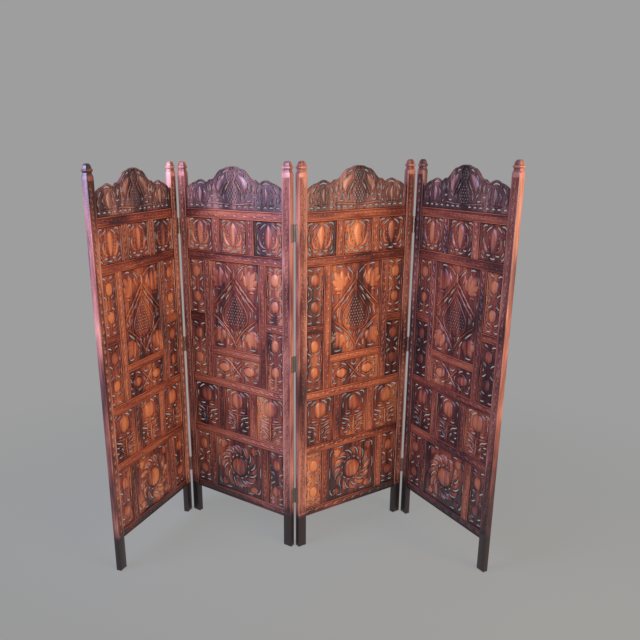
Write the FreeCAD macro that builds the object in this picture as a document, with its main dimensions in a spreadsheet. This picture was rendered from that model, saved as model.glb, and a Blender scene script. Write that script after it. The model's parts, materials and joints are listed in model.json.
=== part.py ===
import FreeCAD, Part
import math
import os
from FreeCAD import Placement, Rotation, Vector

# Carved jali screen
# A folding room screen of four equal carved hardwood leaves, standing in a zigzag. Each leaf is frame and
# panel work: two grooved posts with finials, grooved rails with stub tenons, muntins butted between the
# rails, and pierced jali boards held loose in the grooves. Three butt hinges join each leaf to the next.
# The whole stands on z = 0 with +X to the viewer's right and +Y away from the viewer.
# Each leaf is drawn in its own frame: x across the leaf from its middle, y through it from its middle
# with the front face at -y, and z up from the floor.

doc = FreeCAD.newDocument("carved_jali_screen")

# Driving sizes, in millimetres unless a unit is given
SIZES = [
    ("screen_height", "1524", "floor to the tip of a finial"),
    ("leaf_width", "560", "one leaf over its two posts"),
    ("post_face", "38", "post width seen from the front"),
    ("post_thick", "22", "post from front to back"),
    ("foot_chamfer", "4", "chamfer round the sides of a foot"),
    ("finial_height", "43", "shoulder to tip of a finial"),
    ("finial_neck_drop", "31", "tip to the narrowest place of the neck"),
    ("finial_collar_drop", "23", "tip to the lower edge of the collar"),
    ("finial_collar_height", "4", "collar of a finial"),
    ("finial_knob_drop", "15", "tip to the widest place of the knob"),
    ("finial_cheek_drop", "5", "tip to the rounded cheek of the knob"),
    ("leg_height", "131", "floor to the underside of the bottom rail"),
    ("rail_height", "34", "each of the five rails"),
    ("small_rail_height", "30", "side cross rails and the sill"),
    ("rail_thick", "17", "rails and muntins from front to back"),
    ("muntin_width", "36", "each muntin across its face"),
    ("side_width", "81", "clear width of a side column"),
    ("base_opening", "239", "clear height of the bottom row"),
    ("lower_opening", "191", "clear height of the third row"),
    ("upper_opening", "129", "clear height of the top row"),
    ("frieze_opening", "105", "clear height under the sill"),
    ("side_row_step", "11", "clear height under a side cross rail, more than over it"),
    ("board_thick", "8", "jali boards, crest, tongues and tenons"),
    ("groove_depth", "6", "grooves in posts, rails and muntins"),
    ("fit_clear", "0.15", "air on each face of a tongue in its groove"),
    ("seat_gap", "0.5", "air between a tongue and its groove's floor"),
    ("crest_rise", "159", "top rail to the top of the middle arch"),
    ("post_rise", "177", "top rail to the tip of a finial"),
    ("bar_width", "5", "least wood between two openings of a lattice"),
    ("leaf_angle_1", "68 deg", "turn of the first leaf from the viewer's plane"),
    ("leaf_angle_2", "37 deg", "turn of the second leaf, the other way"),
    ("leaf_angle_3", "35 deg", "turn of the third leaf"),
    ("leaf_angle_4", "64 deg", "turn of the fourth leaf, the other way"),
    ("hinge_height", "63", "butt hinge along its pin"),
    ("hinge_low", "229", "floor to the middle of the lowest hinge"),
    ("hinge_middle", "783", "floor to the middle of the second hinge"),
    ("hinge_drop", "249", "tip of a finial to the middle of the highest hinge"),
    ("plate_width", "17", "hinge plate on the post's edge"),
    ("plate_thick", "1.6", "hinge plate, let in flush with the post's edge"),
    ("plate_clear", "0.8", "hinge plate to the middle of the gap"),
    ("knuckle_lap", "0.8", "knuckle wall past the inner face of its plate"),
    ("knuckle_air", "0.3", "running gap round and between knuckles"),
    ("pin_radius", "1.7", "hinge pin"),
    ("pin_clear", "0.05", "radial clearance of the pin in its bore"),
]

# Sizes worked out from the driving ones
LAYOUT = [
    ("closed_rows", "=Sizes.base_opening + Sizes.lower_opening + Sizes.upper_opening"),
    ("rail_rows", "=Sizes.leg_height + 5 * Sizes.rail_height + Sizes.post_rise"),
    ("middle_opening", "=Sizes.screen_height - closed_rows - rail_rows"),
    ("opening_width", "=Sizes.leaf_width - 2 * Sizes.post_face"),
    ("third_width", "=(opening_width - 2 * Sizes.muntin_width) / 3"),
    ("third_pitch", "=third_width + Sizes.muntin_width"),
    ("grape_width", "=opening_width - 2 * (Sizes.side_width + Sizes.muntin_width)"),
    ("long_pitch", "=grape_width + Sizes.muntin_width"),
    ("side_pitch", "=long_pitch + Sizes.muntin_width + Sizes.side_width"),
    ("base_z", "=Sizes.leg_height + Sizes.rail_height"),
    ("fourth_rail_z", "=base_z + Sizes.base_opening"),
    ("lower_z", "=fourth_rail_z + Sizes.rail_height"),
    ("third_rail_z", "=lower_z + Sizes.lower_opening"),
    ("middle_z", "=third_rail_z + Sizes.rail_height"),
    ("second_rail_z", "=middle_z + middle_opening"),
    ("upper_z", "=second_rail_z + Sizes.rail_height"),
    ("top_rail_z", "=upper_z + Sizes.upper_opening"),
    ("crest_z", "=top_rail_z + Sizes.rail_height"),
    ("sill_z", "=middle_z + Sizes.frieze_opening"),
    ("grape_z", "=sill_z + Sizes.small_rail_height"),
    ("grape_opening", "=second_rail_z - grape_z"),
    ("side_lower_opening", "=(middle_opening - Sizes.small_rail_height + Sizes.side_row_step) / 2"),
    ("side_cross_z", "=middle_z + side_lower_opening"),
    ("side_upper_z", "=side_cross_z + Sizes.small_rail_height"),
    ("side_upper_opening", "=second_rail_z - side_upper_z"),
    ("tongue", "=Sizes.groove_depth - Sizes.seat_gap"),
    ("groove_width", "=Sizes.board_thick + 2 * Sizes.fit_clear"),
    ("hinge_top", "=Sizes.screen_height - Sizes.hinge_drop"),
    ("plate_reach", "=Sizes.plate_thick + Sizes.plate_clear"),
    ("knuckle_radius", "=plate_reach + Sizes.knuckle_lap"),
    ("axis_across", "=Sizes.leaf_width / 2 + Sizes.plate_clear"),
    ("axis_through", "=Sizes.post_thick / 2 + knuckle_radius + Sizes.knuckle_air"),
    ("bore_radius", "=Sizes.pin_radius + Sizes.pin_clear"),
]


def fill_sheet(name, rows):
    """Write each row's alias, value and note into a sheet of the document."""
    sheet = doc.addObject("Spreadsheet::Sheet", name)
    for number, row in enumerate(rows, start=1):
        sheet.set(f"A{number}", row[0])
        sheet.set(f"B{number}", row[1])
        sheet.setAlias(f"B{number}", row[0])
        if len(row) > 2:
            sheet.set(f"C{number}", row[2])
    doc.recompute()
    return sheet


sizes = fill_sheet("Sizes", SIZES)
layout = fill_sheet("Layout", LAYOUT)


def size(name):
    """The value of a driving or worked-out size."""
    sheet = sizes if name in [row[0] for row in SIZES] else layout
    return float(sheet.get(name))


def half(name):
    return size(name) / 2


# Leaf places
# The fold between the second and third leaf is the ridge nearest the viewer and is hinged at the back. The
# outer two folds are valleys and are hinged at the front.
LEAF_COUNT = 4


def turned(turn, x, y):
    """A point of a leaf's plan after the leaf has turned."""
    return Rotation(Vector(0, 0, 1), turn).multVec(Vector(x, y, 0))


def leaf_places():
    """The placement of each leaf, with the screen centred over the origin."""
    across, through = size("axis_across"), size("axis_through")
    leaves = range(1, LEAF_COUNT + 1)
    turns = {n: (1 if n % 2 else -1) * size(f"leaf_angle_{n}") for n in leaves}
    middles = {2: -turned(turns[2], across, through), 3: -turned(turns[3], -across, through)}
    left_line = middles[2] + turned(turns[2], -across, -through)
    right_line = middles[3] + turned(turns[3], across, -through)
    middles[1] = left_line - turned(turns[1], across, -through)
    middles[4] = right_line - turned(turns[4], -across, -through)
    box = FreeCAD.BoundBox()
    for n in leaves:
        for i in (-1, 1):
            for j in (-1, 1):
                box.add(middles[n] + turned(turns[n], i * half("leaf_width"), j * half("post_thick")))
    middle = Vector(box.Center.x, box.Center.y, 0)
    return {n: Placement(middles[n] - middle, Rotation(Vector(0, 0, 1), turns[n])) for n in leaves}


# Outlines: each is a closed list of edges for a sketch
def polygon(points):
    ends = [Vector(x, y, 0) for x, y in points]
    return [Part.LineSegment(a, b) for a, b in zip(ends, ends[1:] + ends[:1])]


def rectangle(left, low, right, high):
    return polygon([(left, low), (right, low), (right, high), (left, high)])


def corners_in(x, y, radius, count):
    """A regular outline whose corners lie on a circle."""
    turns = [2 * math.pi * n / count for n in range(count)]
    return polygon([(x + radius * math.cos(turn), y + radius * math.sin(turn)) for turn in turns])


def flats_round(x, y, radius, count):
    """A regular outline whose flats touch a circle."""
    return corners_in(x, y, radius / math.cos(math.pi / count), count)


def grooved_bar(low, high, grooved_low=True, grooved_high=True):
    """The section of a rail: its thickness along x, its height along y, and a groove in either edge."""
    cheek, groove, depth = half("rail_thick"), half("groove_width"), size("groove_depth")
    points = [(-cheek, low)]
    if grooved_low:
        points += [(-groove, low), (-groove, low + depth), (groove, low + depth), (groove, low)]
    points += [(cheek, low), (cheek, high)]
    if grooved_high:
        points += [(groove, high), (groove, high - depth), (-groove, high - depth), (-groove, high)]
    return points + [(-cheek, high)]


def tenon_bar(low, high):
    """The section of the tenon on a rail's end, which clears the boards in the same groove."""
    cheek, depth = half("board_thick"), size("groove_depth")
    return [(-cheek, low + depth), (cheek, low + depth), (cheek, high - depth), (-cheek, high - depth)]


def flipped(points):
    return [(y, x) for x, y in points]


# Bodies and their features
def new_body(label):
    body = doc.addObject("PartDesign::Body", label)
    body.Label = label
    return body


def new_sketch(body, name, plane, outlines, lift=0):
    """A sketch on one of the body's own planes, lifted off it along its normal."""
    sketch = body.newObject("Sketcher::SketchObject", name)
    support = next(item for item in body.Origin.OriginFeatures if item.Role == plane)
    sketch.AttachmentSupport = (support, [""])
    sketch.MapMode = "FlatFace"
    sketch.AttachmentOffset = Placement(Vector(0, 0, lift), Rotation())
    for outline in outlines:
        sketch.addGeometry(outline, False)
    return sketch


def pad(body, name, plane, outlines, length, lift=0, both_ways=False):
    """Extrude outlines by a length that is an expression of the sheets."""
    feature = body.newObject("PartDesign::Pad", name)
    feature.Profile = new_sketch(body, name + "_outline", plane, outlines, lift)
    if both_ways:
        feature.SideType = "Symmetric"
    feature.setExpression("Length", length)
    return feature


def pocket(body, name, plane, outlines, length=None, lift=0):
    """Cut outlines out of the body, through a length about the sketch's plane or all the way."""
    feature = body.newObject("PartDesign::Pocket", name)
    feature.Profile = new_sketch(body, name + "_outline", plane, outlines, lift)
    feature.SideType = "Symmetric"
    if length:
        feature.setExpression("Length", length)
    else:
        feature.Type = "ThroughAll"
    return feature


# Posts
# Widths of the finial at its neck, collar, knob, cheek and tip, as shares of the post
NECK_SHARE, COLLAR_SHARE, KNOB_SHARE, CHEEK_SHARE, TIP_SHARE = 0.76, 1.0, 0.76, 0.62, 0.36
# Height of the crest where it meets a post, as a share of its rise
CREST_END_SHARE = 0.44
HINGE_HEIGHTS = ["hinge_low", "hinge_middle", "hinge_top"]


def finial_side(half_width):
    """One side of a finial, from its shoulder up to its tip."""
    top = size("screen_height")
    collar = top - size("finial_collar_drop")
    return [
        (half_width, top - size("finial_height")),
        (half_width * NECK_SHARE, top - size("finial_neck_drop")),
        (half_width * COLLAR_SHARE, collar),
        (half_width * COLLAR_SHARE, collar + size("finial_collar_height")),
        (half_width * KNOB_SHARE, top - size("finial_knob_drop")),
        (half_width * CHEEK_SHARE, top - size("finial_cheek_drop")),
        (half_width * TIP_SHARE, top),
    ]


def foot_side(half_width):
    """One side of a foot, from the floor up past its chamfer."""
    return [(half_width - size("foot_chamfer"), 0), (half_width, size("foot_chamfer"))]


def plate_start():
    """How far from the leaf's middle plane a plate begins, clear of the other leaf's knuckles."""
    sweep = size("knuckle_radius") + size("knuckle_air")
    return size("axis_through") - math.sqrt(sweep**2 - size("plate_clear") ** 2)


def mortises(face):
    """The outlines of the mortises that the hinge plates lie in, open towards the pins."""
    ends = [face * (plate_start() - size("plate_width") - size("fit_clear")), face * size("post_thick")]
    reach = half("hinge_height") + size("fit_clear")
    return [rectangle(min(ends), size(name) - reach, max(ends), size(name) + reach) for name in HINGE_HEIGHTS]


def post(label, place, turn, pin_face):
    """A post drawn at the leaf's left side, with its groove facing the leaf's middle.

    The pins of its hinges stand at its back (1) or its front (-1), as drawn, and 0 is a post without hinges.
    """
    body = new_body(label)
    middle = half("post_face") - half("leaf_width")
    side = foot_side(half("post_face")) + finial_side(half("post_face"))
    front = [(middle + x, z) for x, z in side] + [(middle - x, z) for x, z in reversed(side)]
    pad(body, "face", "XZ_Plane", [polygon(front)], "Sizes.post_thick", both_ways=True)
    past, top = size("post_thick"), size("screen_height")
    knob = finial_side(half("post_thick"))
    notch = knob + [(knob[-1][0], top + past), (past, top + past), (past, knob[0][1])]
    foot = foot_side(half("post_thick")) + [(past, size("foot_chamfer")), (past, -past)]
    foot.append((half("post_thick") - size("foot_chamfer"), -past))
    cuts = [[(i * y, z) for y, z in outline] for outline in (notch, foot) for i in (-1, 1)]
    pocket(body, "side_cuts", "YZ_Plane", [polygon(cut) for cut in cuts])
    edge = size("post_face") - half("leaf_width")
    low = size("leg_height") + size("tongue")
    high = size("crest_z") + CREST_END_SHARE * size("crest_rise") + size("seat_gap")
    groove = rectangle(edge - size("groove_depth"), low, edge + size("groove_depth"), high)
    pocket(body, "groove", "XZ_Plane", [groove], "Layout.groove_width")
    if pin_face:
        length = "2 * (Sizes.plate_thick + Sizes.fit_clear)"
        pocket(body, "mortises", "YZ_Plane", mortises(pin_face), length, -half("leaf_width"))
    body.Placement = place.multiply(Placement(Vector(), Rotation(Vector(0, 0, 1), turn)))
    return body


# Rails and muntins
def rails(label, place):
    body = new_body(label)
    lows = [size(name) for name in ("fourth_rail_z", "third_rail_z", "second_rail_z", "top_rail_z")]
    spans = [(low, low + size("rail_height")) for low in lows]
    foot = (size("leg_height"), size("base_z"))
    sections = [polygon(grooved_bar(*span)) for span in spans] + [polygon(grooved_bar(*foot, False))]
    tenons = [polygon(tenon_bar(*span)) for span in spans + [foot]]
    pad(body, "bars", "YZ_Plane", sections, "Layout.opening_width", both_ways=True)
    pad(body, "tenons", "YZ_Plane", tenons, "Layout.opening_width + 2 * Layout.tongue", both_ways=True)
    body.Placement = place
    return body


# Each row of muntins: the place of its foot, its clear height and the spacing of its pair
MUNTIN_ROWS = [
    ("base", "base_z", "Sizes.base_opening", "long_pitch"),
    ("lower", "lower_z", "Sizes.lower_opening", "third_pitch"),
    ("long", "middle_z", "Layout.middle_opening", "long_pitch"),
    ("upper", "upper_z", "Sizes.upper_opening", "third_pitch"),
]


def muntins(label, place):
    body = new_body(label)
    for name, low, opening, pitch in MUNTIN_ROWS:
        middles = [-half(pitch), half(pitch)]
        spans = [(middle - half("muntin_width"), middle + half("muntin_width")) for middle in middles]
        bars = [polygon(flipped(grooved_bar(*span))) for span in spans]
        pad(body, name + "_bars", "XY_Plane", bars, opening, size(low))
    body.Placement = place
    return body


def small_rails(label, place):
    """The cross rail of each side column, and the sill under the grape panel."""
    body = new_body(label)
    bars = [
        ("left_cross", -half("side_pitch"), "side_cross_z", "Sizes.side_width"),
        ("right_cross", half("side_pitch"), "side_cross_z", "Sizes.side_width"),
        ("sill", 0, "sill_z", "Layout.grape_width"),
    ]
    for name, middle, low, width in bars:
        span = (size(low), size(low) + size("small_rail_height"))
        pad(body, name, "YZ_Plane", [polygon(grooved_bar(*span))], width, middle, True)
    body.Placement = place
    return body


# Jali boards
# The openings of each design are outlines in shares of half the clear width and half the clear height,
# measured from the middle of the board. "sides", "ends" and "both" say which way an outline is repeated.
UPPER_JALI_SHARES = [
    ("sides", [(-0.86, 0.86), (-0.12, 0.86), (-0.86, 0.22)]),
    ("sides", [(-0.86, 0.06), (-0.68, -0.22), (-0.86, -0.50)]),
    ("sides", [(-0.78, -0.86), (-0.12, -0.86), (-0.52, -0.66)]),
]
SIDE_JALI_SHARES = [
    ("both", [(-0.80, 0.92), (-0.12, 0.92), (-0.80, 0.62)]),
    ("sides", [(-0.80, 0.24), (-0.14, 0.0), (-0.80, -0.24)]),
]
LOWER_JALI_SHARES = [
    ("sides", [(-0.86, 0.90), (-0.16, 0.90), (-0.86, 0.46)]),
    ("sides", [(-0.86, -0.32), (-0.20, -0.60), (-0.86, -0.88)]),
    ("once", [(-0.56, -0.28), (0.56, -0.28), (0.0, -0.52)]),
    ("once", [(-0.56, -0.92), (0.56, -0.92), (0.0, -0.68)]),
]
BASE_SIDE_JALI_SHARES = [
    ("both", [(-0.80, 0.92), (-0.10, 0.92), (-0.80, 0.66)]),
]
FRIEZE_JALI_SHARES = [
    ("sides", [(-0.44, 0.74), (-0.10, 0.0), (-0.44, -0.74)]),
    ("ends", [(-0.32, 0.80), (0.32, 0.80), (0.0, 0.18)]),
    ("sides", [(-0.92, 0.74), (-0.56, 0.0), (-0.92, -0.74)]),
]
WREATH_CORNER_SHARES = [
    ("both", [(-0.92, 0.90), (-0.50, 0.90), (-0.92, 0.48)]),
]
GRAPE_CORNER_SHARES = [
    ("both", [(-0.90, 0.93), (-0.34, 0.93), (-0.90, 0.60)]),
    ("sides", [(-0.90, 0.28), (-0.60, 0.03), (-0.90, -0.22)]),
]
# The wreath: petals round a ring, with radii as shares of half the lesser clear size
WREATH_PETALS = 8
WREATH_INNER_SHARE, WREATH_OUTER_SHARE, PETAL_SHARE = 0.24, 0.72, 0.62
# The bunch of grapes: how many openings each row of the lattice has, from the top
BUNCH_ROWS = [2, 3, 2, 1]
BUNCH_TOP_SHARE, BUNCH_WIDTH_SHARE, BUNCH_HEIGHT_SHARE = 0.34, 0.86, 0.94


def repeated(way, outline):
    outlines = [outline]
    if way in ("sides", "both"):
        outlines += [[(-x, y) for x, y in one] for one in outlines]
    if way in ("ends", "both"):
        outlines += [[(x, -y) for x, y in one] for one in outlines]
    return outlines


def shared_openings(shares, width, height):
    """Openings of a design, in millimetres from the middle of a board of this clear size."""
    outlines = [one for way, outline in shares for one in repeated(way, outline)]
    return [[(x * width / 2, y * height / 2) for x, y in one] for one in outlines]


def wreath_openings(width, height):
    """Petals in a ring, and the four corners outside it."""
    openings = shared_openings(WREATH_CORNER_SHARES, width, height)
    reach = min(width, height) / 2
    inner, outer = WREATH_INNER_SHARE * reach, WREATH_OUTER_SHARE * reach
    step = 2 * math.pi / WREATH_PETALS
    for number in range(WREATH_PETALS):
        corners = [(outer, -1), (outer, 1), (inner, 0)]
        turns = [(radius, (number + side * PETAL_SHARE / 2) * step) for radius, side in corners]
        openings.append([(radius * math.cos(turn), radius * math.sin(turn)) for radius, turn in turns])
    return openings


def grape_openings(width, height):
    """A bunch drawn as rows of diamonds that taper downwards, and leaf-shaped corners."""
    openings = shared_openings(GRAPE_CORNER_SHARES, width, height)
    across = BUNCH_WIDTH_SHARE * width / 2 / max(BUNCH_ROWS)
    down = BUNCH_HEIGHT_SHARE * height / 2 / len(BUNCH_ROWS)
    i, j = (across - size("bar_width")) / 2, (down - size("bar_width") / 2)
    for row, count in enumerate(BUNCH_ROWS):
        y = BUNCH_TOP_SHARE * height / 2 - row * down
        for number in range(count):
            x = (number - (count - 1) / 2) * across
            openings.append([(x - i, y), (x, y - j), (x + i, y), (x, y + j)])
    return openings


def boards(label, place, pieces):
    """Pierced boards of one node: each piece has its middle, low edge, clear size and openings."""
    body, outlines = new_body(label), []
    for middle, low, width, height, openings in pieces:
        reach_x, reach_z, rise = width / 2 + size("tongue"), height / 2 + size("tongue"), low + height / 2
        outlines.append(rectangle(middle - reach_x, rise - reach_z, middle + reach_x, rise + reach_z))
        outlines += [polygon([(middle + x, rise + z) for x, z in one]) for one in openings]
    pad(body, "boards", "XZ_Plane", outlines, "Sizes.board_thick", both_ways=True)
    body.Placement = place
    return body


def thirds(low, opening, shares):
    """Three equal boards side by side."""
    width, height = size("third_width"), size(opening)
    openings = shared_openings(shares, width, height)
    return [(n * size("third_pitch"), size(low), width, height, openings) for n in (-1, 0, 1)]


def side_boards(low, opening, shares):
    """The boards of the two side columns at one height."""
    width, height = size("side_width"), size(opening)
    openings = shared_openings(shares, width, height)
    return [(n * half("side_pitch"), size(low), width, height, openings) for n in (-1, 1)]


def wide_board(low, opening, draw):
    """One board between the long muntins."""
    width, height = size("grape_width"), size(opening)
    return [(0, size(low), width, height, draw(width, height))]


def frieze_openings(width, height):
    return shared_openings(FRIEZE_JALI_SHARES, width, height)


# Crest
# The right half of the crest's top edge, as shares of half the clear width and of the rise: the middle
# arch with its shoulder, a step down to the cusp, and the side lobe that ends at the post
CREST_EDGE_SHARES = [
    (0.08, 0.99),
    (0.16, 0.95),
    (0.24, 0.92),
    (0.30, 0.85),
    (0.37, 0.74),
    (0.42, 0.70),
    (0.47, 0.70),
    (0.54, 0.63),
    (0.60, 0.67),
    (0.68, 0.70),
    (0.78, 0.64),
    (0.85, 0.61),
    (0.94, 0.54),
    (1.0, CREST_END_SHARE),
]
CREST_OPENING_SHARES = [
    ("sides", [(-0.03, 0.90), (-0.22, 0.82), (-0.17, 0.73), (-0.05, 0.79)]),
    ("sides", [(-0.33, 0.70), (-0.40, 0.56), (-0.30, 0.48)]),
    ("sides", [(-0.56, 0.56), (-0.68, 0.62), (-0.80, 0.54)]),
    ("sides", [(-0.90, 0.50), (-0.94, 0.24), (-0.84, 0.34)]),
    ("sides", [(-0.05, 0.30), (-0.22, 0.56), (-0.22, 0.20)]),
    ("once", [(-0.06, 0.62), (0.0, 0.36), (0.06, 0.62)]),
]


def crest(label, place):
    body = new_body(label)
    clear, low, rise = half("opening_width"), size("crest_z"), size("crest_rise")
    reach = clear + size("tongue")
    edge = [(x * clear, low + z * rise) for x, z in CREST_EDGE_SHARES]
    side = edge + [(reach, edge[-1][1]), (reach, low - size("tongue"))]
    outline = [(0, low + rise)] + side + [(-x, z) for x, z in reversed(side)]
    shares = [one for way, opening in CREST_OPENING_SHARES for one in repeated(way, opening)]
    openings = [polygon([(x * clear, low + z * rise) for x, z in one]) for one in shares]
    pad(body, "board", "XZ_Plane", [polygon(outline)] + openings, "Sizes.board_thick", both_ways=True)
    body.Placement = place
    return body


# Butt hinges
# Each folding edge: the leaf, its side (1 right, -1 left), the face that the pin stands at (1 back,
# -1 front), and whether this leaf has the outer knuckles, into which the pin is riveted.
EDGES = [
    (1, 1, -1, False),
    (2, -1, -1, True),
    (2, 1, 1, True),
    (3, -1, 1, False),
    (3, 1, -1, True),
    (4, -1, -1, False),
]
KNUCKLES = 3
# A rolled knuckle has this many flats round its outside and in its bore. The pin inside has more.
ROLL_FLATS, PIN_FLATS = 8, 12


def knuckle_outline(side, face):
    """A knuckle with the tongue of plate that it is rolled from."""
    radius, across, through = size("knuckle_radius"), size("axis_across"), size("axis_through")
    meets = [(-reach, -math.sqrt(radius**2 - reach**2)) for reach in (size("plate_clear"), size("plate_reach"))]
    first, last = [math.atan2(y, x) for x, y in meets]
    step = (last + 2 * math.pi - first) / ROLL_FLATS
    turns = [first + n * step for n in range(ROLL_FLATS + 1)]
    roll = [(across + radius * math.cos(turn), through + radius * math.sin(turn)) for turn in turns]
    tongue = [(roll[-1][0], plate_start()), (roll[0][0], plate_start())]
    return polygon([(side * x, face * y) for x, y in tongue + roll])


def plate_outline(side, face):
    """A hinge plate in its mortise, flush with the edge of its post, seen from above."""
    corners = [side * half("leaf_width"), side * (half("leaf_width") - size("plate_thick"))]
    reach = [face * plate_start(), face * (plate_start() - size("plate_width"))]
    return rectangle(min(corners), min(reach), max(corners), max(reach))


def hinges(label, place, edges):
    """The hinge plates on one leaf's posts, with their knuckles and the pins riveted into them."""
    body = new_body(label)
    plates = [plate_outline(side, face) for _, side, face, _ in edges]
    spots = [(side * size("axis_across"), face * size("axis_through"), pin) for _, side, face, pin in edges]
    pins = [corners_in(x, y, size("pin_radius"), PIN_FLATS) for x, y, pin in spots if pin]
    bores = [flats_round(x, y, size("bore_radius"), ROLL_FLATS) for x, y, pin in spots if not pin]
    for height in HINGE_HEIGHTS:
        foot = size(height) - half("hinge_height")
        pad(body, f"{height}_plates", "XY_Plane", plates, "Sizes.hinge_height", foot)
        for n in range(KNUCKLES):
            rolls = [knuckle_outline(side, face) for _, side, face, pin in edges if pin == (n % 2 == 0)]
            if rolls:
                low = foot + n * size("hinge_height") / KNUCKLES + half("knuckle_air")
                length = f"Sizes.hinge_height / {KNUCKLES} - Sizes.knuckle_air"
                pad(body, f"{height}_knuckle_{n}", "XY_Plane", rolls, length, low)
        if pins:
            length = "Sizes.hinge_height - Sizes.knuckle_air"
            pad(body, f"{height}_pins", "XY_Plane", pins, length, foot + half("knuckle_air"))
    if bores:
        pocket(body, "bores", "XY_Plane", bores)
    body.Placement = place
    return body


def screen_leaf(number, place):
    """All the pieces of one leaf."""
    name = f"leaf_{number}_"
    edges = [edge for edge in EDGES if edge[0] == number]
    pins = {side: face for _, side, face, _ in edges}
    side_jalis = side_boards("middle_z", "side_lower_opening", SIDE_JALI_SHARES)
    side_jalis += side_boards("side_upper_z", "side_upper_opening", SIDE_JALI_SHARES)
    base_jalis = side_boards("base_z", "base_opening", BASE_SIDE_JALI_SHARES)
    base_jalis += wide_board("base_z", "base_opening", wreath_openings)
    pieces = [
        post(name + "left_post", place, 0, pins.get(-1, 0)),
        post(name + "right_post", place, 180, -pins.get(1, 0)),
        crest(name + "crest", place),
        rails(name + "rails", place),
        muntins(name + "muntins", place),
        small_rails(name + "small_rails", place),
        boards(name + "upper_jalis", place, thirds("upper_z", "upper_opening", UPPER_JALI_SHARES)),
        boards(name + "side_jalis", place, side_jalis),
        boards(name + "grape_panel", place, wide_board("grape_z", "grape_opening", grape_openings)),
        boards(name + "frieze_jali", place, wide_board("middle_z", "frieze_opening", frieze_openings)),
        boards(name + "lower_jalis", place, thirds("lower_z", "lower_opening", LOWER_JALI_SHARES)),
        boards(name + "base_jalis", place, base_jalis),
        hinges(name + "hinges", place, edges),
    ]
    return pieces


places = leaf_places()
pieces = [piece for number, place in places.items() for piece in screen_leaf(number, place)]
doc.recompute()

for item in doc.Objects:
    if "Invalid" in item.State or "Error" in item.State:
        raise RuntimeError(f"{item.Label} did not build: {item.State}")
for piece in pieces:
    if piece.Shape.isNull() or not piece.Shape.isValid():
        raise RuntimeError(f"{piece.Label} has no valid shape")

os.makedirs("parts", exist_ok=True)
for piece in pieces:
    piece.Shape.exportStep(f"parts/{piece.Label}.step")
print(f"{len(pieces)} pieces written")
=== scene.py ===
# %% [markdown]
# # A carved jali screen
# The object is a folding room screen of four hardwood leaves, each a frame of posts, rails and muntins that
# holds pierced jali boards. The imported solids give every piece its place and size. This lesson carves the
# boards, moulds the bars, rounds the knobs and finishes the wood. The frame is loaded first.

import json
import math

import bmesh
import bpy
import numpy as np
from bmesh.types import BMEdge, BMFace, BMVert
from mathutils import Matrix, Vector

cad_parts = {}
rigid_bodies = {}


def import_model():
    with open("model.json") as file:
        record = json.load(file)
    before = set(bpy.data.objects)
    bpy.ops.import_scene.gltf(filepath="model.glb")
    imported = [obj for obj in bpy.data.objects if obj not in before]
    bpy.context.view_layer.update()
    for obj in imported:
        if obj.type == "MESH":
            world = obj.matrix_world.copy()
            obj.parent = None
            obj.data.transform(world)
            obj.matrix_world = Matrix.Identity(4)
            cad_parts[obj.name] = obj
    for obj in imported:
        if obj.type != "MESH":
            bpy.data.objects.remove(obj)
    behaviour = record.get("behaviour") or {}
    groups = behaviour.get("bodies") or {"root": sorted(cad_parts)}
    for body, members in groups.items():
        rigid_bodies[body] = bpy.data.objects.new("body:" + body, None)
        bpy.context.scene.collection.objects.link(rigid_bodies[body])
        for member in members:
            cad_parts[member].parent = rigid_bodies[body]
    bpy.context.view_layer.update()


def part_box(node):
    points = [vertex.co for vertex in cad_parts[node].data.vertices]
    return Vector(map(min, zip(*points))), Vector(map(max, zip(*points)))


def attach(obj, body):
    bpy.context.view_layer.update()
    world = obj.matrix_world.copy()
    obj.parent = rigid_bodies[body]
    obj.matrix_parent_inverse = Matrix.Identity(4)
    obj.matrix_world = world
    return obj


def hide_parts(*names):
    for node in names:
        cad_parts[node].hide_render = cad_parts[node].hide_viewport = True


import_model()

# %% [markdown]
# All four leaves are alike and only stand differently, so each piece is drawn once, in the millimetres of one
# leaf: x across from the leaf's middle, y through it with the front at minus y, and z up from the floor. The
# middles of its two posts say where a leaf stands and how it is turned.

# %% Where each leaf stands
MM = 0.001
LEAVES = (1, 2, 3, 4)


def leaf_place(number):
    """The matrix from a leaf's own millimetres to the metres of the whole screen."""
    boxes = [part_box(f"leaf_{number}_{side}_post") for side in ("left", "right")]
    left, right = [(low + high) / 2 for low, high in boxes]
    turn = math.atan2(right.y - left.y, right.x - left.x)
    middle = Matrix.Translation(((left.x + right.x) / 2, (left.y + right.y) / 2, 0))
    return middle @ Matrix.Rotation(turn, 4, "Z") @ Matrix.Scale(MM, 4)


places = {number: leaf_place(number) for number in LEAVES}
for number, place in places.items():
    print(f"leaf {number} is turned {math.degrees(place.to_euler().z):.1f} degrees")

# %% [markdown]
# The sizes of the joinery are those of the solids, written once as on a joiner's rod. Every board, bar and
# post takes its place from them.

# %% The joiner's rod, in millimetres
LEAF_WIDTH, POST_FACE, POST_THICK = 560, 38, 22
RAIL_HEIGHT, SMALL_RAIL_HEIGHT, RAIL_THICK = 34, 30, 17
MUNTIN_WIDTH, SIDE_WIDTH = 36, 81
BOARD_THICK, TONGUE = 8, 5.5
TIP_Z, SHOULDER_Z, LEG_Z, CREST_Z = 1524, 1481, 131, 1347
BASE_Z, LOWER_Z, MIDDLE_Z, UPPER_Z = 165, 438, 663, 1184
BASE_HIGH, LOWER_HIGH, MIDDLE_HIGH, UPPER_HIGH = 239, 191, 487, 129
FRIEZE_HIGH, SIDE_LOWER_HIGH, SIDE_UPPER_HIGH, GRAPE_HIGH = 105, 234, 223, 352
CLEAR_WIDTH = LEAF_WIDTH - 2 * POST_FACE
THIRD_WIDTH = (CLEAR_WIDTH - 2 * MUNTIN_WIDTH) / 3
THIRD_PITCH = THIRD_WIDTH + MUNTIN_WIDTH
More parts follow.
